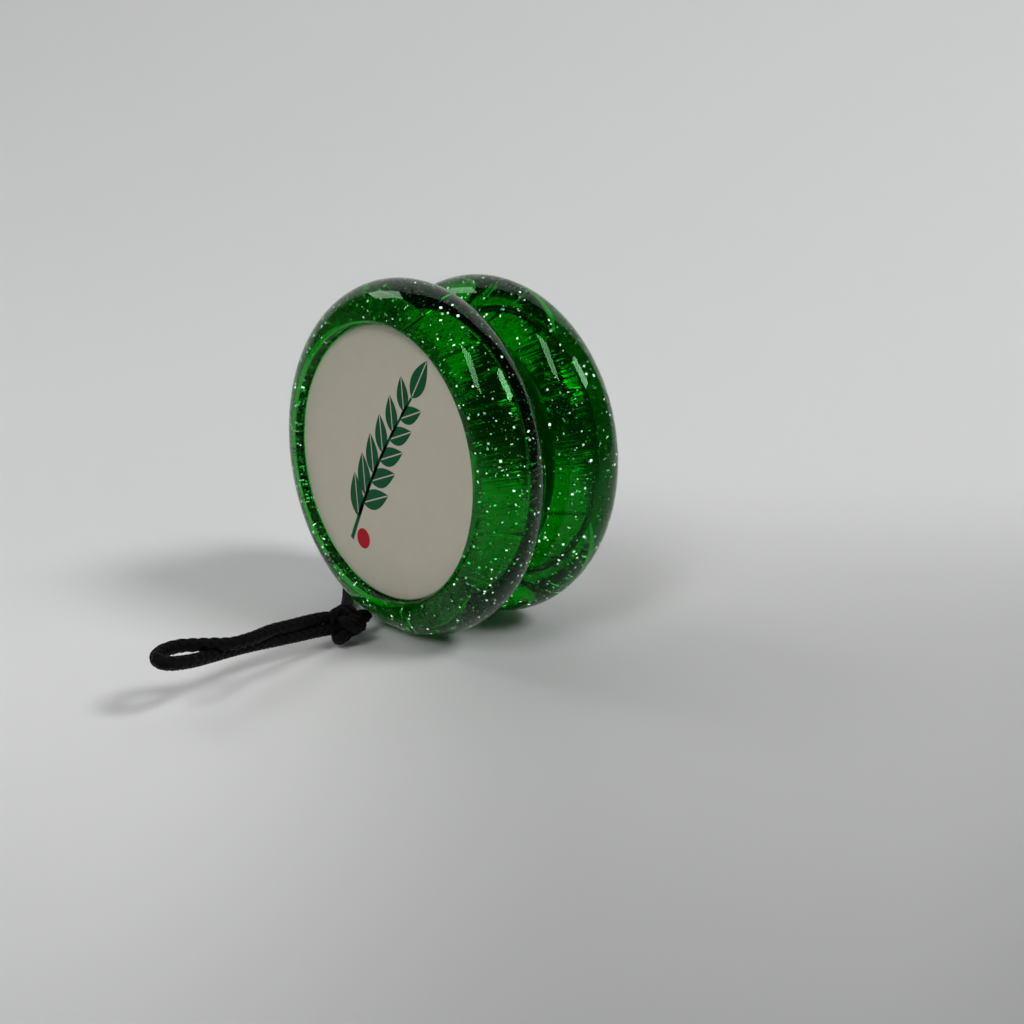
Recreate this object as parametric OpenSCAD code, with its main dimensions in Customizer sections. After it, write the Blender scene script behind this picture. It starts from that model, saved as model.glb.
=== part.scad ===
// Yo-yo: two clear moulded halves on a pressed axle, a cap let into each outer face,
// and a braided string that is wound in the gap and ends in a finger loop.
// The axle lies along Y and the origin is at its middle. The yo-yo stands on its rims,
// with its front cap towards -Y.

/* [Halves] */
// Diameter over the rims
body_d = 57; // [50:0.5:64]
// Radius of the rim's round section
rim_r = 6; // [4:0.25:8]
// Width of the string gap between the flat inner faces
gap_w = 4.2; // [2.4:0.1:6]
// Thickness of the web behind the gap
web_t = 2.2; // [1.6:0.1:3]
// Diameter of the hollow behind the cap
hollow_d = 43.2; // [38:0.2:43.6]
// Diameter of the boss that holds the axle
boss_d = 10; // [8:0.5:14]
// Number of thin ribs along the wall of the hollow
rib_count = 15; // [0:1:24]
// Diameter of a rib, half of which stands out of the wall
rib_d = 0.7; // [0.4:0.05:0.75]
// Angle of the first rib above the horizontal
rib_angle = 5; // [0:1:24]

/* [Caps] */
// Diameter of the pocket that takes a cap
pocket_d = 44; // [36:0.5:46]
// Play between a cap and its pocket, all round
cap_play = 0.15; // [0.05:0.05:0.4]
// Thickness of a cap
cap_t = 1.6; // [1:0.1:3]
// Depth of a cap's face below the lip
cap_recess = 1.4; // [0:0.1:3]
// Height of the locating ring under a cap, which goes over the boss
ring_h = 1; // [0.5:0.1:2]
// Radius of the small round on a cap's front edge
cap_edge_r = 0.4; // [0.1:0.1:0.8]

/* [Axle] */
// Diameter of the steel pin
axle_d = 4; // [3:0.25:6]
// Length of the steel pin
axle_length = 20; // [12:0.5:24]
// Outside diameter of the spacer sleeve on the pin
sleeve_d = 6; // [5:0.25:9]

/* [String] */
// Diameter of the braided string
string_d = 1.9; // [1:0.1:2.4]
// Diameter of the wound string
coil_d = 38; // [20:0.5:42]
// Free space between the wound string and each inner face
coil_side_play = 0.3; // [0.2:0.05:0.8]
// Free space between the string and the sleeve that it turns on
string_play = 0.05; // [0.02:0.01:0.1]
// Diameter of the knot
knot_d = 6.4; // [4:0.1:8]

/* [Hidden] */
$fn = 96;
// number of sides of a string's tube
string_sides = 8;
// small overlap that joins solids of one piece
weld = 0.3;
// space between the cap and the tops of the boss and the ribs
boss_gap = 0.3;

rim_centre_r = body_d / 2 - rim_r;
rim_centre_y = gap_w / 2 + rim_r;
lip_y = rim_centre_y + rim_r;
cap_face_y = lip_y - cap_recess;
seat_y = cap_face_y - cap_t;
web_y = gap_w / 2 + web_t;
boss_y = seat_y - boss_gap;
cap_r = pocket_d / 2 - cap_play;
ring_r = boss_d / 2 + cap_play;
ring_t = 1;
coil_w = gap_w - 2 * coil_side_play;
coil_corner_r = 0.8;

// The string's own line, from the wound turns to the knot: down inside the gap,
// out under the rim, and along the ground to the knot in front.
lead_route = [
    [-18, 0, 0], [-18.1, 0, -4], [-18.4, 0, -8], [-18.9, 0, -12],
    [-19.8, 0, -15.8], [-21, -0.4, -19.5], [-21.9, -1.6, -22.7], [-21.6, -3.8, -25.2],
    [-19.8, -6.2, -26.7], [-17, -8.4, -27.2], [-14, -10.8, -27.1], [-11, -13.2, -26.7],
    [-8, -15.6, -26], [-5, -17.8, -25.4], [-2.8, -19.4, -25]
];
// The finger loop, rising from the knot along one strand and back along the other.
loop_route = [
    [-1.7, -21.2, -25.4], [-1.8, -24.4, -25], [-1.2, -28.9, -24.4], [-0.7, -33.5, -23.8],
    [-0.3, -37.4, -23.3], [0.6, -41.5, -22.7], [2.2, -45.6, -21.9], [3.9, -49.4, -21],
    [4.6, -52.6, -20.2], [3.8, -53.8, -19.8], [2.3, -53.4, -19.6], [0.8, -51.5, -19.7],
    [0.2, -49, -20], [0.7, -46.9, -20.3], [1.5, -44.8, -20.6], [2.3, -42.1, -21],
    [1.5, -38.4, -21.4], [-0.3, -34.2, -21.9], [-0.9, -30.4, -22.3], [-2, -26.3, -22.9],
    [-2.7, -22.5, -23.6]
];
// The short free end beyond the knot, beside the front rim.
tail_route = [
    [-1.6, -18.4, -24.8], [-2.2, -16.8, -24.7], [-2.6, -15.6, -25], [-2.9, -14.8, -25.5]
];
knot_at = [-1.4, -20.2, -25];
knot_bight_at = [-2.2, -19.2, -24.8];
knot_bight_d = 6;

// ---- helpers ----

// Turns a solid made around +Z so that +Z points out of the front, towards -Y.
module facing_front() {
    rotate([90, 0, 0]) children();
}

// The same for the back half, at the same angles round the axle.
module facing_back() {
    mirror([0, 1, 0]) facing_front() children();
}

function unit(v) = v / norm(v);

// Direction of a route at its point i, from the neighbours on both sides.
function heading(route, i) =
    unit(route[min(i + 1, len(route) - 1)] - route[max(i - 1, 0)]);

// A side direction carried on to a new heading with no twist.
function carried(side, ahead) = unit(side - (side * ahead) * ahead);

// Side directions at all points of a route, each carried on from the last.
function sides(route, first) = [
    for (i = 0, s = carried(first, heading(route, 0));
         i < len(route);
         i = i + 1, s = carried(s, heading(route, min(i, len(route) - 1))))
        s
];

// One round tube of diameter d along a route, as rings of flat sides with two ends.
module tube(route, d) {
    n = string_sides;
    s = sides(route, [1, 0, 1]);
    points = [
        for (i = [0 : len(route) - 1])
            for (k = [0 : n - 1])
                let (across = cross(heading(route, i), s[i]))
                    route[i] + d / 2 * (cos(360 * k / n) * s[i] + sin(360 * k / n) * across)
    ];
    walls = [
        for (i = [0 : len(route) - 2])
            for (k = [0 : n - 1])
                let (a = i * n + k, b = i * n + (k + 1) % n)
                    [a, a + n, b + n, b]
    ];
    start_end = [for (k = [0 : n - 1]) k];
    far_end = [for (k = [n - 1 : -1 : 0]) (len(route) - 1) * n + k];
    polyhedron(points, concat([start_end], walls, [far_end]), convexity = 6);
}

// ---- the two halves ----

// Half of a shell's section: radius to the right, distance from the middle upwards.
module shell_section() {
    difference() {
        union() {
            translate([rim_centre_r, rim_centre_y]) circle(r = rim_r);
            translate([axle_d / 2, gap_w / 2]) square([rim_centre_r - axle_d / 2, 2 * rim_r]);
        }
        translate([0, seat_y]) square([pocket_d / 2, body_d]);
        translate([0, boss_y]) square([hollow_d / 2, body_d]);
        translate([boss_d / 2, web_y]) square([(hollow_d - boss_d) / 2, body_d]);
    }
}

// One thin round rib on the wall of the hollow, from the web up to just under the cap.
module rib() {
    translate([hollow_d / 2, 0, web_y - weld]) cylinder(d = rib_d, h = boss_y - web_y + weld);
}

// A whole moulded half: rim, web, boss, ribs and the pocket for its cap.
module shell() {
    rotate_extrude() shell_section();
    for (i = [0 : rib_count - 1])
        rotate([0, 0, rib_angle + i * 360 / rib_count]) rib();
}

module front_shell() {
    color([0.0, 0.36, 0.1, 0.7]) facing_front() shell();
}

module back_shell() {
    color([0.0, 0.36, 0.1, 0.7]) facing_back() shell();
}

// ---- the caps ----

// A flat disc with a rounded front edge, and behind it a ring that goes over the boss.
module cap() {
    rotate_extrude() {
        translate([0, seat_y]) square([cap_r, cap_t - cap_edge_r]);
        translate([0, seat_y]) square([cap_r - cap_edge_r, cap_t]);
        translate([cap_r - cap_edge_r, cap_face_y - cap_edge_r]) circle(r = cap_edge_r);
        translate([ring_r, seat_y - ring_h]) square([ring_t, ring_h + weld]);
    }
}

module front_cap() {
    color([0.86, 0.84, 0.78]) facing_front() cap();
}

module back_cap() {
    color([0.86, 0.84, 0.78]) facing_back() cap();
}

// ---- the axle ----

module axle() {
    color([0.7, 0.7, 0.72])
        facing_front() cylinder(d = axle_d, h = axle_length, center = true);
}

// The sleeve sits between the inner faces and sets the width of the gap.
module axle_sleeve() {
    color([0.75, 0.6, 0.3])
        facing_front() rotate_extrude()
            translate([axle_d / 2, -gap_w / 2]) square([(sleeve_d - axle_d) / 2, gap_w]);
}

// ---- the string ----

// The outer shape of the turns that are wound on the sleeve.
module string_coil() {
    inner_r = sleeve_d / 2 + string_play;
    color([0.04, 0.04, 0.045])
        facing_front() rotate_extrude() {
            translate([inner_r, -coil_w / 2])
                square([coil_d / 2 - inner_r - coil_corner_r, coil_w]);
            translate([inner_r, coil_corner_r - coil_w / 2])
                square([coil_d / 2 - inner_r, coil_w - 2 * coil_corner_r]);
            for (side = [-1, 1])
                translate([coil_d / 2 - coil_corner_r, side * (coil_w / 2 - coil_corner_r)])
                    circle(r = coil_corner_r);
        }
}

module string_lead() {
    color([0.04, 0.04, 0.045]) tube(lead_route, string_d);
}

// Two crossed bights of an overhand knot.
module string_knot() {
    color([0.04, 0.04, 0.045]) {
        translate(knot_at) sphere(d = knot_d);
        translate(knot_bight_at) sphere(d = knot_bight_d);
    }
}

module finger_loop() {
    color([0.04, 0.04, 0.045]) tube(loop_route, string_d);
}

module string_tail() {
    color([0.04, 0.04, 0.045]) tube(tail_route, string_d);
}

front_shell();
back_shell();
front_cap();
back_cap();
axle();
axle_sleeve();
string_coil();
string_lead();
string_knot();
finger_loop();
string_tail();
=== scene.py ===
import math

import bpy
import numpy as np
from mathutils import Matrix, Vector


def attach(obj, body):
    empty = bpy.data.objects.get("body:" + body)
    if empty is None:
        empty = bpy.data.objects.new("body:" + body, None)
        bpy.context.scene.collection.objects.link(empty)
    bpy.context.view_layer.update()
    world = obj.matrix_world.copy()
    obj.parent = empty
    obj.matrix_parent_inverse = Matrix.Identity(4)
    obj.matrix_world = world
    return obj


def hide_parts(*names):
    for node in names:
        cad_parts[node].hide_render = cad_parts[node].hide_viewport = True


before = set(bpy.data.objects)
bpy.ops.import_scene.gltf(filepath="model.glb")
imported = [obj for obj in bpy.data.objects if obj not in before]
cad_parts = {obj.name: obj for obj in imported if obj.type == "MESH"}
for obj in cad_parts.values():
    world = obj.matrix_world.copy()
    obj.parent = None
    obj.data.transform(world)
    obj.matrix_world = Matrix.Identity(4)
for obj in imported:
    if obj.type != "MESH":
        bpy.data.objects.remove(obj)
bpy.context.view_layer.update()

MM = 0.001
SCENE = bpy.context.scene

# ---- camera ----
# A short lens close to the yo-yo, looking down past the front cap's right side.

CAMERA_AZIMUTH = math.radians(45.51)
CAMERA_ELEVATION = math.radians(15.02)
camera = bpy.data.objects.new("camera", bpy.data.cameras.new("camera"))
SCENE.collection.objects.link(camera)
camera.location = np.array([131.35, -113.5, 36.42]) * MM
camera.rotation_euler = (math.pi / 2 - CAMERA_ELEVATION, 0, CAMERA_AZIMUTH)
camera.data.sensor_width = 36
camera.data.lens = 37.78
camera.data.clip_start = 0.005
camera.data.clip_end = 20
SCENE.camera = camera

# ---- string ----
# One braided black cord: wound turns on the sleeve, out of the gap, through the knot,
# round the finger loop, back through the knot and out as a short free end.

STRING_D = 1.9 * MM
GAP_W = 4.2 * MM
SLEEVE_R = 3.0 * MM
STRING_PLAY = 0.05 * MM
FLOOR_Z = -28.5 * MM
KNOT = np.array([-1.4, -20.2, -25]) * MM

LEAD_ROUTE = np.array([
    [-18, 0, 0], [-18.1, 0, -4], [-18.4, 0, -8], [-18.9, 0, -12],
    [-19.8, 0, -15.8], [-21, -0.4, -19.5], [-21.9, -1.6, -22.7], [-21.6, -3.8, -25.2],
    [-19.8, -6.2, -26.7], [-17, -8.4, -27.2], [-14, -10.8, -27.1], [-11, -13.2, -26.7],
    [-8, -15.6, -26], [-5, -17.8, -25.4], [-2.8, -19.4, -25],
]) * MM
LOOP_ROUTE = np.array([
    [-1.7, -21.2, -25.4], [-1.8, -24.4, -25], [-1.2, -28.9, -24.4], [-0.7, -33.5, -23.8],
    [-0.3, -37.4, -23.3], [0.6, -41.5, -22.7], [2.2, -45.6, -21.9], [3.9, -49.4, -21],
    [4.6, -52.6, -20.2], [3.8, -53.8, -19.8], [2.3, -53.4, -19.6], [0.8, -51.5, -19.7],
    [0.2, -49, -20], [0.7, -46.9, -20.3], [1.5, -44.8, -20.6], [2.3, -42.1, -21],
    [1.5, -38.4, -21.4], [-0.3, -34.2, -21.9], [-0.9, -30.4, -22.3], [-2, -26.3, -22.9],
    [-2.7, -22.5, -23.6],
]) * MM
TAIL_ROUTE = np.array([
    [-1.6, -18.4, -24.8], [-2.2, -16.8, -24.7], [-2.6, -15.6, -25], [-2.9, -14.8, -25.5],
]) * MM


class Value:
    """A shader socket that sums write on: each operator adds one Math node."""

    def __init__(self, tree, socket):
        self.tree, self.socket = tree, socket

    def math(self, operation, *others):
        return self.tree.node("ShaderNodeMath", {"operation": operation}, [self, *others])

    def __add__(self, other):
        return self.math("ADD", other)

    def __sub__(self, other):
        return self.math("SUBTRACT", other)

    def __rsub__(self, other):
        return self.tree.node("ShaderNodeMath", {"operation": "SUBTRACT"}, [other, self])

    def __mul__(self, other):
        return self.math("MULTIPLY", other)


class Tree:
    """The node tree of one new material."""

    def __init__(self, name):
        self.material = bpy.data.materials.new(name)
        self.material.use_nodes = True
        self.tree = self.material.node_tree
        self.tree.nodes.clear()

    def node(self, kind, settings=None, inputs=(), output=0):
        """One node of a type, with its settings set first and its inputs given or linked."""
        made = self.tree.nodes.new(kind)
        for key, value in (settings or {}).items():
            if key == "stops":
                ramp = made.color_ramp
                while len(ramp.elements) < len(value):
                    ramp.elements.new(0.5)
                for element, (place, colour) in zip(ramp.elements, value):
                    element.position, element.color = place, colour
            else:
                setattr(made, key, value)
        pairs = inputs.items() if isinstance(inputs, dict) else enumerate(inputs)
        for key, value in pairs:
            if isinstance(value, Value):
                self.tree.links.new(value.socket, made.inputs[key])
            else:
                made.inputs[key].default_value = value
        return Value(self, made.outputs[output] if made.outputs else None)

    def output(self, surface, **others):
        self.node("ShaderNodeOutputMaterial", None, {"Surface": surface, **others})
        return self.material


def smooth_route(points, step):
    """Points every step along a route: each span is the Catmull-Rom cubic of its four
    neighbouring points, and the dense curve is then read off at equal lengths."""
    padded = np.vstack([2 * points[0] - points[1], points, 2 * points[-1] - points[-2]])
    t = np.linspace(0, 1, 24, endpoint=False)[None, :, None]
    a, b, c, d = (padded[i : len(padded) - 3 + i, None, :] for i in range(4))
    spans = 0.5 * (2 * b + (c - a) * t + (2 * a - 5 * b + 4 * c - d) * t**2
                   + (3 * b - a - 3 * c + d) * t**3)
    dense = np.vstack([spans.reshape(-1, 3), points[-1]])
    along = np.r_[0, np.cumsum(np.linalg.norm(np.diff(dense, axis=0), axis=1))]
    wanted = np.linspace(0, along[-1], max(2, int(round(along[-1] / step)) + 1))
    return np.column_stack([np.interp(wanted, along, dense[:, k]) for k in range(3)])


def carried_frames(path):
    """Headings along a path, and side directions carried along it with no twist."""
    heading = np.gradient(path, axis=0)
    heading /= np.linalg.norm(heading, axis=1)[:, None]
    side = np.zeros_like(path)
    last = np.cross(heading[0], [0.3, 0.9, 0.2])
    for i, ahead in enumerate(heading):
        last = last - ahead * (last @ ahead)
        last /= np.linalg.norm(last)
        side[i] = last
    return heading, side


def mesh_object(name, points, faces, smooth=True):
    """A new object at the origin from points and faces, linked to the scene."""
    mesh = bpy.data.meshes.new(name)
    mesh.from_pydata(points.tolist(), [], faces)
    mesh.update()
    if smooth:
        mesh.shade_smooth()
    made = bpy.data.objects.new(name, mesh)
    SCENE.collection.objects.link(made)
    return made


def grid_faces(rows, columns, wrap_rows=False):
    """Quads of a grid whose columns wrap round, and whose rows may."""
    i = np.arange(rows if wrap_rows else rows - 1)[:, None]
    j = np.arange(columns)[None, :]
    i2, j2 = (i + 1) % rows, (j + 1) % columns
    quads = np.stack([i * columns + j, i * columns + j2, i2 * columns + j2,
                      i2 * columns + j], axis=-1)
    return quads.reshape(-1, 4)


def braided_tube(name, path, diameter, sides=16, relief=0.0):
    """A round tube along a path. Its radius is that of the cord, more or less a braid's
    relief: two sets of strands wind opposite ways, and the higher one shows at each place."""
    heading, side = carried_frames(path)
    across = np.cross(heading, side)
    along = np.r_[0, np.cumsum(np.linalg.norm(np.diff(path, axis=0), axis=1))]
    turn = np.linspace(0, 2 * np.pi, sides, endpoint=False)
    s, a = along[:, None] / BRAID_PITCH * 2 * np.pi, turn[None, :]
    right = np.cos(BRAID_STRANDS * a + s)
    left = np.cos(BRAID_STRANDS * a - s)
    radius = diameter / 2 + relief * (np.maximum(right, left) - BRAID_MEAN)
    points = (path[:, None, :]
              + radius[..., None] * (np.cos(turn)[None, :, None] * side[:, None, :]
                                     + np.sin(turn)[None, :, None] * across[:, None, :]))
    faces = grid_faces(len(path), sides).tolist()
    faces.append(list(range(sides))[::-1])
    faces.append([(len(path) - 1) * sides + k for k in range(sides)])
    made = mesh_object(name, points.reshape(-1, 3), faces)
    layer = made.data.uv_layers.new(name="along")
    corner = np.zeros(len(made.data.loops), dtype=np.int64)
    made.data.loops.foreach_get("vertex_index", corner)
    ring, spoke = corner // sides, corner % sides
    quad_corner = np.arange(len(corner)) % 4
    wraps = (spoke == 0) & ((quad_corner == 1) | (quad_corner == 2))
    wraps[-2 * sides:] = False
    u = np.where(wraps, 1.0, spoke / sides)
    layer.data.foreach_set("uv", np.column_stack([u, along[ring] / BRAID_PITCH]).ravel())
    return made


def joined(name, parts):
    """One object with the meshes of several new ones, which are removed."""
    with bpy.context.temp_override(active_object=parts[0], selected_editable_objects=parts):
        bpy.ops.object.join()
    parts[0].name = name
    return parts[0]


BRAID_PITCH = 1.5 * MM
BRAID_STRANDS = 4
BRAID_RELIEF = 0.12 * MM
# mean of the higher of two cosines, so that the tube keeps the cord's diameter
BRAID_MEAN = 0.4

# The wound turns: a flat spiral whose turns lie by turns on the two sides of the gap.
TURN_STEP = 1.2 * MM
SIDE_SHIFT = 0.78 * MM
first_r, last_r = SLEEVE_R + STRING_D / 2 + STRING_PLAY, -LEAD_ROUTE[0][0]
turns = (last_r - first_r) / TURN_STEP
theta = np.linspace(0, 2 * np.pi * turns, int(turns * 40))
wound_r = first_r + TURN_STEP * theta / (2 * np.pi)
# counted back from the place where the string leaves the turns
from_exit = theta[-1] - theta
wound_y = SIDE_SHIFT * np.tanh(4 * np.sin(from_exit / 2))
WOUND = np.column_stack([-wound_r * np.cos(from_exit), wound_y, wound_r * np.sin(from_exit)])

through_out = np.array([KNOT + np.array([-0.2, -0.2, -0.3]) * MM])
through_back = np.array([KNOT + np.array([-0.4, 0.2, 0.5]) * MM])
string_route = np.vstack([WOUND[:-1], LEAD_ROUTE, through_out, LOOP_ROUTE, through_back,
                          TAIL_ROUTE])
string_path = smooth_route(string_route, 0.3 * MM)
string = braided_tube("string", string_path, STRING_D, 16, BRAID_RELIEF)
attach(string, "string")
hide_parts("string_coil", "string_lead", "finger_loop", "string_tail")

# The knot: an overhand knot tied in the doubled string, a trefoil pulled small. Its two
# strands lie on both sides of the line through it.
KNOT_SCALE = 0.72
STRAND_SHIFT = 0.8
k = np.linspace(0, 2 * np.pi, 91)
trefoil = np.column_stack([
    (np.sin(k) + 2 * np.sin(2 * k)) * KNOT_SCALE,
    (np.cos(k) - 2 * np.cos(2 * k)) * KNOT_SCALE,
    -1.0 * np.sin(3 * k),
]) * MM
knot_axis = Vector(LOOP_ROUTE[1] - LEAD_ROUTE[-2])
turn_to_axis = np.array(Vector((0, 0, 1)).rotation_difference(knot_axis).to_matrix())
strands = []
for shift in (-STRAND_SHIFT, STRAND_SHIFT):
    strand_path = (trefoil + np.array([0, 0, shift]) * MM) @ turn_to_axis.T + KNOT
    strands.append(braided_tube("knot_strand", smooth_route(strand_path, 0.25 * MM),
                                STRING_D, 16, BRAID_RELIEF))
knot = joined("knot", strands)
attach(knot, "string")
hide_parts("string_knot")


def cord_material():
    """Black braided nylon: faint strands crossing both ways, a little sheen. Its colour holds
    painted shade, darker in the braid's crevices and lighter on its crests, with a random mottle.
    """
    t = Tree("braided_cord")
    uv = t.node("ShaderNodeUVMap", {"uv_map": "along"})
    parts = t.node("ShaderNodeSeparateXYZ", None, [uv])
    u = parts
    v = Value(t, parts.socket.node.outputs[1])
    right = (u * (BRAID_STRANDS * 2 * math.pi) + v * (2 * math.pi)).math("COSINE")
    left = (u * (BRAID_STRANDS * 2 * math.pi) - v * (2 * math.pi)).math("COSINE")
    height = right.math("MAXIMUM", left)
    place = t.node("ShaderNodeTexCoord", None, (), "Object")
    fuzz = t.node("ShaderNodeTexNoise", None,
                  {"Vector": place, "Scale": 9000.0, "Detail": 2.0}, "Fac")
    # painted shade: the colour follows the braid's relief height, darker in its crevices; the
    # noise adds random tone
    shade = t.node("ShaderNodeMix", {"data_type": "RGBA"},
                   {"Factor": height * 0.35 + fuzz * 0.4, "A": (0.0005, 0.0005, 0.0006, 1),
                    "B": (0.004, 0.004, 0.0045, 1)}, 2)
    bump = t.node("ShaderNodeBump", None,
                  {"Strength": 0.6, "Distance": 0.0001, "Height": height + fuzz * 0.5})
    bsdf = t.node("ShaderNodeBsdfPrincipled", None,
                  {"Base Color": shade, "Roughness": 0.6, "Normal": bump,
                   "Specular IOR Level": 0.12})
    return t.output(bsdf)


CORD = cord_material()
for piece in (string, knot):
    piece.data.materials.append(CORD)

# ---- shells ----
# Two clear green halves with a round rim, a flat inner face, a boss for the axle, thin
# ribs on the hollow's wall, and a pocket that the cap sits in. Turned from one outline.

RIM_R = 6.0 * MM
RIM_CENTRE_R = 22.5 * MM
RIM_CENTRE_Y = GAP_W / 2 + RIM_R
LIP_Y = RIM_CENTRE_Y + RIM_R
POCKET_R = 22.0 * MM
CAP_RECESS = 1.4 * MM
CAP_T = 1.6 * MM
CAP_FACE_Y = LIP_Y - CAP_RECESS
SEAT_Y = CAP_FACE_Y - CAP_T
HOLLOW_R = 21.6 * MM
WEB_Y = GAP_W / 2 + 2.2 * MM
BOSS_R = 5.0 * MM
BOSS_Y = SEAT_Y - 0.3 * MM
RING_H = 1.0 * MM
AXLE_R = 2.0 * MM
RIB_COUNT = 15
RIB_R = 0.35 * MM
RIB_ANGLE = math.radians(5)
RIB_WELD = 0.5 * MM
LIP_ROUND = 0.35 * MM
LEDGE_ROUND = 0.15 * MM
WEB_ROUND = 0.6 * MM
BOSS_ROUND = 0.3 * MM


def arc(centre, radius, start, stop, count):
    """Points on a circle's arc in the section, angles in degrees."""
    a = np.radians(np.linspace(start, stop, count))
    return np.column_stack([centre[0] + radius * np.cos(a), centre[1] + radius * np.sin(a)])


def line(start, stop, count):
    """Points from one place in the section towards another, the last left out."""
    t = np.linspace(0, 1, count, endpoint=False)[:, None]
    return np.array(start) * (1 - t) + np.array(stop) * t


def shell_outline():
    """The closed section of a half, as radius and distance from the middle: bore, inner
    face, round rim, lip, pocket, ledge, hollow and boss, with small rounds between."""
    e, g, f, b = LIP_ROUND, LEDGE_ROUND, WEB_ROUND, BOSS_ROUND
    return np.vstack([
        line((AXLE_R, GAP_W / 2), (RIM_CENTRE_R, GAP_W / 2), 16),
        arc((RIM_CENTRE_R, RIM_CENTRE_Y), RIM_R, -90, 90, 49),
        arc((POCKET_R + e, LIP_Y - e), e, 90, 180, 7),
        arc((POCKET_R - g, SEAT_Y + g), g, 0, -90, 4),
        arc((HOLLOW_R + g, SEAT_Y - g), g, 90, 180, 4),
        arc((HOLLOW_R - f, WEB_Y + f), f, 0, -90, 7),
        line((HOLLOW_R - 1.5 * f, WEB_Y), (BOSS_R + 1.2 * f, WEB_Y), 8),
        arc((BOSS_R + f, WEB_Y + f), f, -90, -180, 7),
        arc((BOSS_R - b, BOSS_Y - b), b, 0, 90, 5),
        line((AXLE_R, BOSS_Y), (AXLE_R, GAP_W / 2 + 0.1 * MM), 5),
    ])


def turned(name, outline, sign, segments):
    """A solid of revolution about Y: radius times (cos, sin) of the turn in X and Z, and
    the outline's distance, with a sign, along Y."""
    a = np.linspace(0, 2 * np.pi, segments, endpoint=False)
    r, y = outline[:, 0][:, None], outline[:, 1][:, None]
    points = np.stack([r * np.cos(a), sign * y + 0 * a, r * np.sin(a)], axis=-1)
    faces = grid_faces(len(outline), segments, wrap_rows=True)
    if sign > 0:
        faces = faces[:, ::-1]
    return mesh_object(name, points.reshape(-1, 3), faces.tolist())


def rod(name, centre, radius, low, high, sides=20):
    """A plain round rod along Y."""
    a = np.linspace(0, 2 * np.pi, sides, endpoint=False)
    ring = np.column_stack([centre[0] + radius * np.cos(a), 0 * a, centre[1] + radius * np.sin(a)])
    points = np.vstack([ring + [0, low, 0], ring + [0, high, 0]])
    faces = grid_faces(2, sides)[:, ::-1].tolist()
    faces += [list(range(sides)), list(range(2 * sides - 1, sides - 1, -1))]
    return mesh_object(name, points, faces)


def with_ribs(shell, sign):
    """Joins the thin ribs on the hollow's wall by a Boolean and keeps a plain mesh."""
    ribs = []
    for i in range(RIB_COUNT):
        a = RIB_ANGLE + 2 * math.pi * i / RIB_COUNT
        low, high = sorted((sign * (WEB_Y - RIB_WELD), sign * BOSS_Y))
        ribs.append(rod("rib", (HOLLOW_R * math.cos(a), HOLLOW_R * math.sin(a)), RIB_R,
                        low, high))
    for rib in ribs:
        joint = shell.modifiers.new("rib", "BOOLEAN")
        joint.operation, joint.solver, joint.object = "UNION", "EXACT", rib
    done = shell.evaluated_get(bpy.context.evaluated_depsgraph_get())
    mesh = bpy.data.meshes.new_from_object(done)
    shell.modifiers.clear()
    shell.data = mesh
    for rib in ribs:
        bpy.data.objects.remove(rib)
    mesh.shade_smooth()
    mesh.set_sharp_from_angle(angle=math.radians(28))


def plastic_material():
    """Clear green plastic: polished, tinted by its depth, with fine lines drawn along the
    hollow's wall where the mould let go of it."""
    t = Tree("green_plastic")
    place = t.node("ShaderNodeTexCoord", None, (), "Object")
    parts = t.node("ShaderNodeSeparateXYZ", None, [place])
    x, y, z = (Value(t, socket) for socket in parts.socket.node.outputs)
    wall = ((x * x + z * z).math("SQRT").math("LESS_THAN", HOLLOW_R + 0.1 * MM)
            * y.math("ABSOLUTE").math("GREATER_THAN", WEB_Y + 0.3 * MM))
    drawn = t.node("ShaderNodeCombineXYZ", None, [x, y * 0.06, z])
    grooves = t.node("ShaderNodeTexNoise", None,
                     {"Vector": drawn, "Scale": 2200.0, "Detail": 2.0}, "Fac")
    normal = t.node("ShaderNodeBump", None,
                    {"Strength": 1.0, "Distance": 0.00009, "Height": grooves * wall})
    bsdf = t.node("ShaderNodeBsdfPrincipled", None,
                  {"Base Color": (0.92, 1.0, 0.93, 1), "Roughness": 0.02, "IOR": 1.5,
                   "Specular Tint": (0.35, 0.9, 0.42, 1), "Transmission Weight": 1.0,
                   "Normal": normal})
    tint = t.node("ShaderNodeVolumeAbsorption", None,
                  {"Color": (0.0, 0.85, 0.3, 1), "Density": 700.0})
    return t.output(bsdf, Volume=tint)


PLASTIC = plastic_material()
shells = {}
for name, sign in (("front", -1), ("back", 1)):
    shell = turned(name + "_half", shell_outline(), sign, 256)
    with_ribs(shell, sign)
    shell.data.materials.append(PLASTIC)
    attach(shell, "yoyo")
    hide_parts(name + "_shell")
    shells[name] = shell

# ---- glitter ----
# Small square silver flakes, set at random all through the plastic of both rims. Those
# near the surface are larger, and more of them glow with a painted glint by emission.

DEEP_FLAKES, NEAR_FLAKES = 7000, 1900
DEEP_SIZES, NEAR_SIZES = (0.12, 0.3), (0.2, 0.42)
# shares of deep and near flakes that get a painted glint, and the range of its emission strength
DEEP_PAINTED_GLINTS, NEAR_PAINTED_GLINTS = 0.1, 0.5
PAINTED_GLINT_RANGE = (0.15, 1.6)


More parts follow.
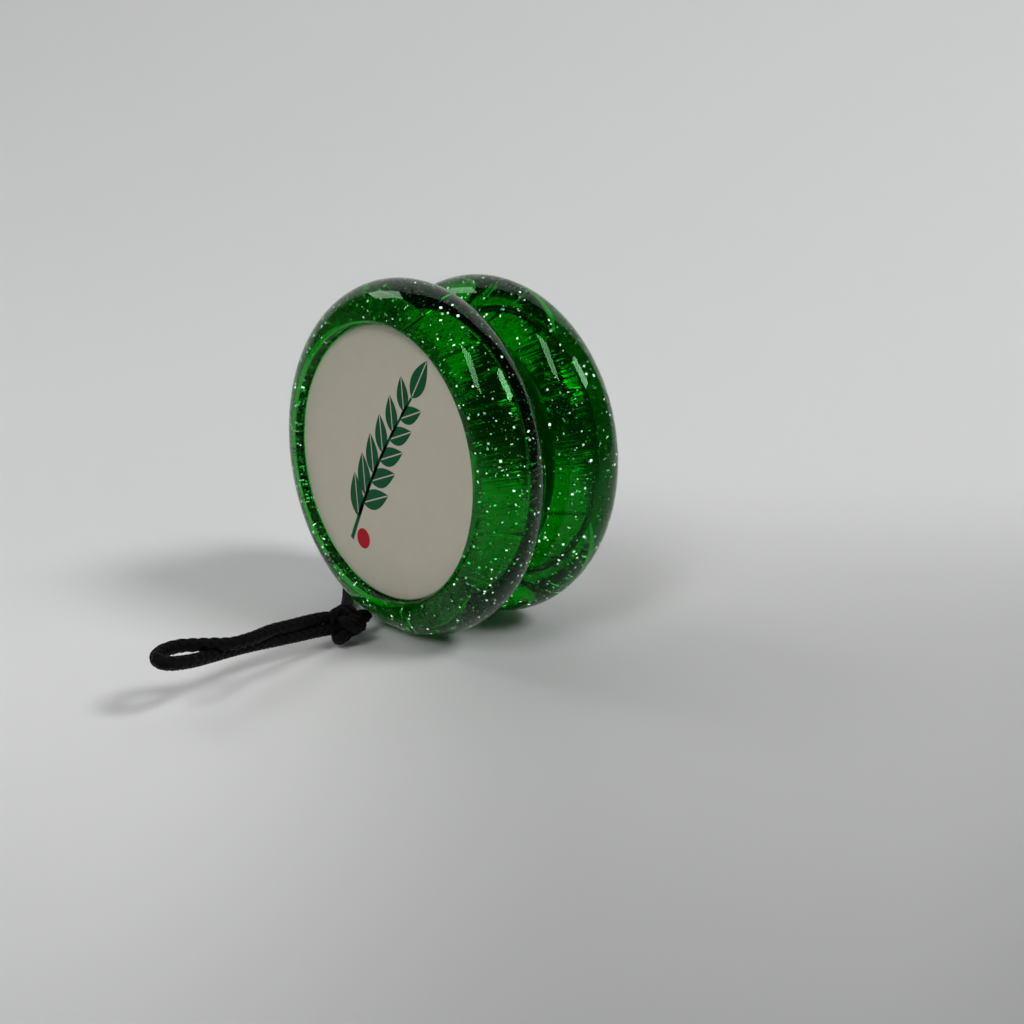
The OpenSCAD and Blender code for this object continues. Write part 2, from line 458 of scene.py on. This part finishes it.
def flakes(name, sign, seed):
    """Squares of random size and turn in the rim's section: most of them anywhere in it,
    the rest close under the surface."""
    rng = np.random.default_rng(seed)
    count = DEEP_FLAKES + NEAR_FLAKES
    near = np.arange(count) >= DEEP_FLAKES
    turn = rng.uniform(0, 2 * np.pi, count)
    out = RIM_R * 0.95 * np.where(near, rng.uniform(0.9, 0.99, count),
                                  np.sqrt(rng.uniform(0, 1, count)))
    around = rng.uniform(0, 2 * np.pi, count)
    r = RIM_CENTRE_R + out * np.cos(around)
    y = RIM_CENTRE_Y + out * np.sin(around)
    keep = (r > POCKET_R + 0.3 * MM) | ((r > HOLLOW_R + 0.3 * MM) & (y < SEAT_Y - 0.3 * MM))
    near, turn, r, y = near[keep], turn[keep], r[keep], y[keep]
    centre = np.column_stack([r * np.cos(turn), sign * y, r * np.sin(turn)])
    normal = rng.normal(size=centre.shape)
    normal /= np.linalg.norm(normal, axis=1)[:, None]
    side = np.cross(normal, rng.normal(size=centre.shape))
    side /= np.linalg.norm(side, axis=1)[:, None]
    across = np.cross(normal, side)
    size = np.where(near, rng.uniform(*NEAR_SIZES, len(centre)),
                    rng.uniform(*DEEP_SIZES, len(centre)))
    size = size[:, None, None] * MM
    square = np.array([[-1, -1], [1, -1], [1, 1], [-1, 1]])
    points = (centre[:, None, :] + size * 0.5 * (square[None, :, :1] * side[:, None, :]
                                                 + square[None, :, 1:] * across[:, None, :]))
    faces = np.arange(len(centre) * 4).reshape(-1, 4)
    made = mesh_object(name, points.reshape(-1, 3), faces.tolist(), smooth=False)
    # painted glint: some flakes glow by emission as if they caught a lamp
    spark = np.where(rng.uniform(size=len(centre)) < np.where(near, NEAR_PAINTED_GLINTS, DEEP_PAINTED_GLINTS),
                     rng.uniform(*PAINTED_GLINT_RANGE, len(centre)), 0.0)
    made.data.attributes.new("spark", "FLOAT", "FACE").data.foreach_set("value", spark)
    return made


def flake_material():
    """Silver foil. Some flakes glow by emission: a painted glint in place of a lamp's glint off a
    tilted flake.
    """
    t = Tree("silver_flake")
    # painted glint: this emission stands in for a lamp's glint off the flake
    spark = t.node("ShaderNodeAttribute", {"attribute_name": "spark"}, (), "Fac")
    glint_emission = t.node("ShaderNodeCombineColor", None,
                  [spark, spark, spark * 0.96])
    bsdf = t.node("ShaderNodeBsdfPrincipled", None,
                  {"Base Color": (0.95, 0.95, 0.93, 1), "Metallic": 1.0, "Roughness": 0.25,
                   "Emission Color": glint_emission, "Emission Strength": 1.0})
    return t.output(bsdf)


SILVER = flake_material()
for name, sign, seed in (("front", -1, 3), ("back", 1, 8)):
    glitter = flakes(name + "_glitter", sign, seed)
    glitter.data.materials.append(SILVER)
    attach(glitter, "yoyo")

# ---- caps ----
# A warm white disc with a softly rounded edge, let into each pocket.

CAP_R = POCKET_R - 0.15 * MM
CAP_EDGE = 0.4 * MM
RING_R = BOSS_R + 0.15 * MM


def cap_outline():
    """Section of a cap, from its middle out over the face, round the edge and back under."""
    return np.vstack([
        line((0.01 * MM, CAP_FACE_Y), (CAP_R - CAP_EDGE, CAP_FACE_Y), 12),
        arc((CAP_R - CAP_EDGE, CAP_FACE_Y - CAP_EDGE), CAP_EDGE, 90, 0, 7),
        line((CAP_R, CAP_FACE_Y - 2 * CAP_EDGE), (CAP_R, SEAT_Y), 2),
        line((CAP_R, SEAT_Y), (RING_R + 1 * MM, SEAT_Y), 6),
        line((RING_R + 1 * MM, SEAT_Y), (RING_R + 1 * MM, SEAT_Y - RING_H), 2),
        line((RING_R + 1 * MM, SEAT_Y - RING_H), (RING_R, SEAT_Y - RING_H), 2),
        line((RING_R, SEAT_Y - RING_H), (RING_R, SEAT_Y), 2),
        line((RING_R, SEAT_Y), (0.01 * MM, SEAT_Y), 3),
        np.array([[0.01 * MM, SEAT_Y]]),
    ])


def cap_material():
    """Warm white plastic with a faint mottle in its colour and gloss."""
    t = Tree("warm_white_plastic")
    place = t.node("ShaderNodeTexCoord", None, (), "Object")
    mottle = t.node("ShaderNodeTexNoise", None,
                    {"Vector": place, "Scale": 260.0, "Detail": 5.0, "Roughness": 0.6}, "Fac")
    colour = t.node("ShaderNodeMix", {"data_type": "RGBA"},
                    {"Factor": mottle, "A": (0.60, 0.56, 0.45, 1),
                     "B": (0.66, 0.62, 0.51, 1)}, 2)
    bsdf = t.node("ShaderNodeBsdfPrincipled", None,
                  {"Base Color": colour, "Roughness": mottle * 0.2 + 0.38})
    return t.output(bsdf)


WHITE = cap_material()
for name, sign in (("front", -1), ("back", 1)):
    cap = turned(name + "_disc", cap_outline()[::-1], sign, 128)
    cap.data.set_sharp_from_angle(angle=math.radians(40))
    cap.data.materials.append(WHITE)
    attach(cap, "yoyo")
    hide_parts(name + "_cap")

# ---- print ----
# A leafy sprig in dark green, slanting across each cap, with a red berry at its foot.

PRINT_Y = CAP_FACE_Y + 0.02 * MM
SPRIG_ANGLE = math.radians(57)
LEAF_SPLAY = math.radians(38)
STEM_BOW = 1.1
LEAF_PAIRS = 6
BERRY_R = 1.7


def leaf_halves(base, angle, length, width, slit=0.22):
    """The two halves of a leaf either side of a light midrib. Each half is a strip: its
    inner edge keeps the slit's distance from the midrib, its outer edge swells as a sine."""
    t = np.linspace(0, 1, 15)
    swell = width / 2 * np.sin(np.pi * t**0.8) ** 0.9
    inner = np.minimum(slit / 2 * np.ones_like(t), swell)
    along, side = unit_pair(angle)
    strips = []
    for hand in (-1, 1):
        edge_in = base + t[:, None] * length * along + hand * inner[:, None] * side
        edge_out = base + t[:, None] * length * along + hand * swell[:, None] * side
        strips.append(np.stack([edge_in, edge_out], axis=1))
    return strips


def unit_pair(angle):
    """A direction in the plane and the one square to it."""
    c, s = math.cos(angle), math.sin(angle)
    return np.array([c, s]), np.array([-s, c])


def printed(name, sign, strips, material):
    """Thin shapes lying on a cap's face, from strips of points in its plane."""
    points, faces = [], []
    for strip in strips:
        start = len(points)
        flat = strip.reshape(-1, 2)
        points += [(x * -sign, sign * PRINT_Y / MM, z) for x, z in flat]
        rows = len(strip)
        for i in range(rows - 1):
            a = start + 2 * i
            faces.append([a, a + 1, a + 3, a + 2])
    made = mesh_object(name, np.array(points) * MM, faces, smooth=False)
    for polygon in made.data.polygons:
        if polygon.normal[1] * sign < 0:
            polygon.flip()
    made.data.update()
    made.data.materials.append(material)
    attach(made, "yoyo")
    return made


along, side = unit_pair(SPRIG_ANGLE)
foot, top = -16.5 * along, 13.5 * along
stem_t = np.linspace(0, 1, 25)[:, None]
bow = STEM_BOW * np.sin(np.pi * stem_t)
stem_line = foot * (1 - stem_t) + top * stem_t + bow * side
stem_width = 0.42 - 0.22 * stem_t
sprig = [np.stack([stem_line - stem_width * side, stem_line + stem_width * side], axis=1)]
for i in range(LEAF_PAIRS):
    for hand in (-1, 1):
        # the lowest leaf on the berry's side is left out
        if i == 0 and hand < 0:
            continue
        t = 0.1 + 0.15 * i + (0.05 if hand > 0 else 0.0)
        base = foot * (1 - t) + top * t + STEM_BOW * math.sin(math.pi * t) * side
        sprig += leaf_halves(base, SPRIG_ANGLE + hand * LEAF_SPLAY, 7.4 - 0.4 * i,
                             3.5 - 0.15 * i)
sprig += leaf_halves(top, SPRIG_ANGLE, 7.0, 3.3)
berry_a = np.linspace(0, np.pi, 17)
berry_at = foot + 2.2 * along - 2.3 * side
berry = [np.stack([berry_at + BERRY_R * np.column_stack([np.cos(berry_a), np.sin(berry_a)]),
                   berry_at + BERRY_R * np.column_stack([np.cos(berry_a), -np.sin(berry_a)])],
                  axis=1)]


def ink_material(name, colour):
    """Screen-printed ink: one strong colour, a little thinner here and there."""
    t = Tree(name)
    place = t.node("ShaderNodeTexCoord", None, (), "Object")
    grain = t.node("ShaderNodeTexNoise", None,
                   {"Vector": place, "Scale": 1500.0, "Detail": 3.0}, "Fac")
    shade = t.node("ShaderNodeMix", {"data_type": "RGBA"},
                   {"Factor": grain, "A": (*[c * 0.9 for c in colour], 1),
                    "B": (*[c * 1.1 for c in colour], 1)}, 2)
    return t.output(t.node("ShaderNodeBsdfPrincipled", None,
                           {"Base Color": shade, "Roughness": 0.5,
                            "Specular IOR Level": 0.15}))


GREEN_INK = ink_material("green_ink", (0.0, 0.095, 0.03))
RED_INK = ink_material("red_ink", (0.5, 0.002, 0.02))
for name, sign in (("front", -1), ("back", 1)):
    printed(name + "_sprig", sign, sprig, GREEN_INK)
    printed(name + "_berry", sign, berry, RED_INK)

# ---- axle ----
# The steel pin and the brass sleeve on it are the CAD solids with their metals put on.
# Both lie hidden between the caps.


def metal_material(name, colour, roughness):
    """Bare metal with fine scratches that change its gloss a little."""
    t = Tree(name)
    place = t.node("ShaderNodeTexCoord", None, (), "Object")
    scratch = t.node("ShaderNodeTexNoise", None,
                     {"Vector": place, "Scale": 3000.0, "Detail": 2.0}, "Fac")
    bsdf = t.node("ShaderNodeBsdfPrincipled", None,
                  {"Base Color": colour, "Metallic": 1.0,
                   "Roughness": scratch * 0.2 + roughness})
    return t.output(bsdf)


STEEL = metal_material("ground_steel", (0.6, 0.6, 0.62, 1), 0.2)
BRASS = metal_material("turned_brass", (0.75, 0.55, 0.25, 1), 0.25)
for node, material in (("axle", STEEL), ("axle_sleeve", BRASS)):
    mesh = bpy.data.objects[node].data
    mesh.materials.clear()
    mesh.materials.append(material)

# ---- floor and light ----
# A sheet of pale paper that curves up behind, with painted shade in its colour, three
# windows that show in the plastic, and three fills from the same sides that light only the matt
# surfaces.

SWEEP_START, SWEEP_R = 0.06, 0.28
CAMERA_AWAY = 0.175

floor_profile = np.vstack([
    line((-1.2, 0.0), (SWEEP_START, 0.0), 24),
    arc((SWEEP_START, SWEEP_R), SWEEP_R, -90, 0, 24),
    np.array([[SWEEP_START + SWEEP_R, 0.9]]),
])
across = np.linspace(-0.45, 0.45, 5)
sweep = np.stack([across[None, :] + 0 * floor_profile[:, :1],
                  floor_profile[:, :1] + 0 * across, floor_profile[:, 1:] + 0 * across], axis=-1)
c, s = math.cos(CAMERA_AZIMUTH), math.sin(CAMERA_AZIMUTH)
sweep = sweep.reshape(-1, 3) @ np.array([[c, s, 0], [-s, c, 0], [0, 0, 1]])
sweep[:, 2] += FLOOR_Z
rows, columns = len(floor_profile), len(across)
quads = [[i * columns + j, i * columns + j + 1, (i + 1) * columns + j + 1, (i + 1) * columns + j]
         for i in range(rows - 1) for j in range(columns - 1)]
floor = mesh_object("floor", sweep, quads)
layer = floor.data.uv_layers.new(name="paper")
flat = np.column_stack([np.tile(across, rows), np.repeat(floor_profile[:, 0], columns)])
layer.data.foreach_set("uv", flat[np.array(quads).ravel()].ravel())


def paper_material():
    """Pale paper with painted shade in its colour: darker towards the viewer, on the right near
    the yo-yo and out to both sides.
    """
    t = Tree("paper")
    place = t.node("ShaderNodeSeparateXYZ", None, [t.node("ShaderNodeUVMap", {"uv_map": "paper"})])
    right, away = place, Value(t, place.socket.node.outputs[1])

    def step(value, low, high, start, stop):
        return t.node("ShaderNodeMapRange", {"interpolation_type": "SMOOTHSTEP"},
                      {"Value": value, "From Min": low, "From Max": high, "To Min": start,
                       "To Max": stop})

    # painted shade: the paper's colour darkens on the right near the yo-yo, towards the viewer and
    # towards both sides
    near = step(away, -0.03, 0.1, 1.0, 0.0)
    side = step(right, -0.035, 0.02, 0.0, 0.3)
    front = step(away, -0.2, -0.03, 0.4, 1.0)
    spread = right.math("ABSOLUTE").math("DIVIDE", away.math("MAXIMUM", -0.15) + CAMERA_AWAY)
    edge = step(spread, 0.5, 1.0, 1.0, 0.75)
    painted_shade = (1.0 - near * side) * front * edge
    shade = t.node("ShaderNodeMix", {"data_type": "RGBA"},
                   {"Factor": painted_shade, "A": (0.0, 0.0, 0.0, 1), "B": (0.78, 0.79, 0.785, 1)}, 2)
    return t.output(t.node("ShaderNodeBsdfPrincipled", None,
                           {"Base Color": shade, "Roughness": 0.7}))


floor.data.materials.append(paper_material())


def lamp(name, azimuth, elevation, distance, width, height, power, mirrored=True):
    """A rectangular lamp that faces the yo-yo from an azimuth (0 is in front) and height.
    One that isn't mirrored lights the matt surfaces, and shows in no glossy one."""
    data = bpy.data.lights.new(name, "AREA")
    data.shape, data.size, data.size_y, data.energy = "RECTANGLE", width, height, power
    made = bpy.data.objects.new(name, data)
    a, e = math.radians(azimuth), math.radians(elevation)
    away = Vector((math.sin(a) * math.cos(e), -math.cos(a) * math.cos(e), math.sin(e)))
    made.location = away * distance
    made.rotation_euler = away.to_track_quat("Z", "Y").to_euler()
    made.visible_glossy = made.visible_transmission = mirrored
    SCENE.collection.objects.link(made)


lamp("left_window", 20, 44, 1.4, 0.26, 0.7, 3.4)
lamp("right_window", 112, 44, 1.4, 0.42, 0.42, 4.6)
lamp("far_window", -80, 41, 1.6, 0.75, 0.5, 3.4)
lamp("left_fill", 20, 44, 1.4, 0.5, 0.7, 3.5, mirrored=False)
lamp("right_fill", 112, 44, 1.4, 0.4, 0.3, 5.2, mirrored=False)
lamp("far_fill", -90, 50, 1.6, 1.4, 1.4, 3.8, mirrored=False)

# The room: pale up to a little over the table, dark between that and the ceiling.
world = bpy.data.worlds.new("room")
SCENE.world = world
world.use_nodes = True
room = world.node_tree
background = room.nodes["Background"]
place = room.nodes.new("ShaderNodeTexCoord")
height = room.nodes.new("ShaderNodeSeparateXYZ")
ramp = room.nodes.new("ShaderNodeMapRange")
ramp.interpolation_type = "SMOOTHSTEP"
ramp.inputs["From Min"].default_value, ramp.inputs["From Max"].default_value = 0.12, 0.26
ramp.inputs["To Min"].default_value, ramp.inputs["To Max"].default_value = 0.08, 0.03
room.links.new(place.outputs["Generated"], height.inputs[0])
room.links.new(height.outputs["Z"], ramp.inputs["Value"])
room.links.new(ramp.outputs["Result"], background.inputs["Strength"])
background.inputs["Color"].default_value = (0.98, 1.0, 1.0, 1)
SCENE.view_settings.view_transform = "Standard"
# light has to cross the clear plastic many times before it leaves it
SCENE.cycles.max_bounces = 32
SCENE.cycles.glossy_bounces = 24
SCENE.cycles.transmission_bounces = 24
